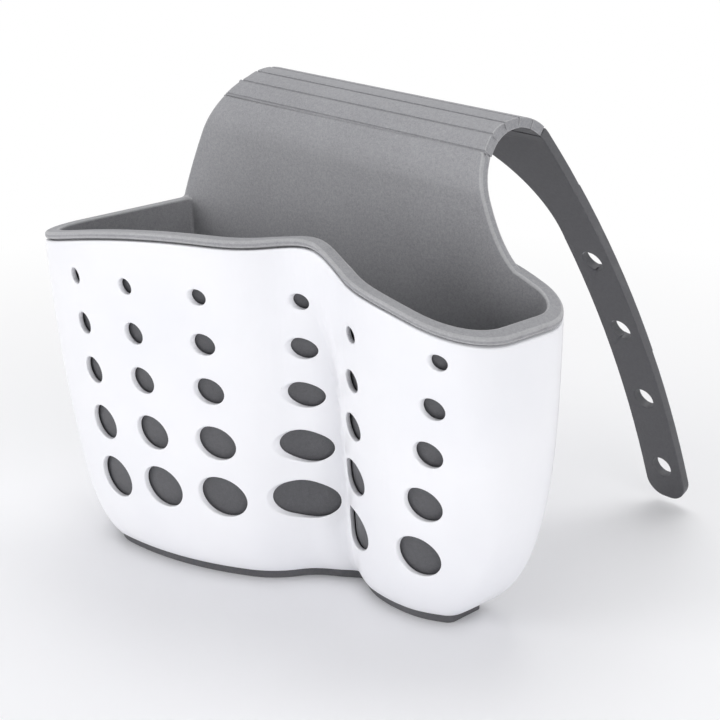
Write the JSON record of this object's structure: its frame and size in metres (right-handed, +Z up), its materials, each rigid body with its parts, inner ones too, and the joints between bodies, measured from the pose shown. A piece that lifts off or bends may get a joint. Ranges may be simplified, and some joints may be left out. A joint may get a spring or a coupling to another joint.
{
  "type": "sponge holder",
  "caption": "Hanging sink caddy: a perforated two-lobed shell around a soft liner whose back wall curls over a tap as a strap with a holed tail.",
  "frame": {"origin": "on the underside of the foot, the face that stands on the worktop", "axes": "+X along the caddy towards the smaller lobe, +Y from the front wall to the back, +Z up"},
  "size_m": [0.184, 0.1853, 0.154],
  "materials": {
    "shell_plastic": "satin white polypropylene",
    "liner_rubber": "fine-grained matte grey thermoplastic rubber"
  },
  "bodies": {
    "shell": {"outer_shell": "shell_plastic"},
    "liner": {"inner_liner": "liner_rubber"},
    "land_1": {"strap_land_1": "liner_rubber"},
    "land_2": {"strap_land_2": "liner_rubber"},
    "land_3": {"strap_land_3": "liner_rubber"},
    "land_4": {"strap_land_4": "liner_rubber"},
    "land_5": {"strap_land_5": "liner_rubber"},
    "tail": {"strap_tail": "liner_rubber"}
  },
  "joints": [
    {"name": "liner_lift", "type": "slide", "parent": "shell", "child": "liner", "axis": [0, 0, 1], "range_m": [0, 0.13]},
    {"name": "strap_flex_1", "type": "hinge", "parent": "liner", "child": "land_1", "pos_m": [-0.012, 0.02336, 0.14444], "axis": [1, 0, 0], "range_deg": [-5, 12], "stiffness_Nm_per_rad": 0.2, "springref_deg": 2.52},
    {"name": "strap_flex_2", "type": "hinge", "parent": "land_1", "child": "land_2", "pos_m": [-0.012, 0.02757, 0.1481], "axis": [1, 0, 0], "range_deg": [-5, 12], "stiffness_Nm_per_rad": 0.2, "springref_deg": 2.24},
    {"name": "strap_flex_3", "type": "hinge", "parent": "land_2", "child": "land_3", "pos_m": [-0.012, 0.03269, 0.15027], "axis": [1, 0, 0], "range_deg": [-5, 12], "stiffness_Nm_per_rad": 0.2, "springref_deg": 1.94},
    {"name": "strap_flex_4", "type": "hinge", "parent": "land_3", "child": "land_4", "pos_m": [-0.012, 0.03824, 0.15076], "axis": [1, 0, 0], "range_deg": [-5, 12], "stiffness_Nm_per_rad": 0.2, "springref_deg": 1.64},
    {"name": "strap_flex_5", "type": "hinge", "parent": "land_4", "child": "land_5", "pos_m": [-0.012, 0.04367, 0.1495], "axis": [1, 0, 0], "range_deg": [-5, 12], "stiffness_Nm_per_rad": 0.2, "springref_deg": 1.39},
    {"name": "strap_flex_6", "type": "hinge", "parent": "land_5", "child": "tail", "pos_m": [-0.012, 0.04844, 0.14664], "axis": [1, 0, 0], "range_deg": [-5, 12], "stiffness_Nm_per_rad": 0.2, "springref_deg": 1.19}
  ]
}
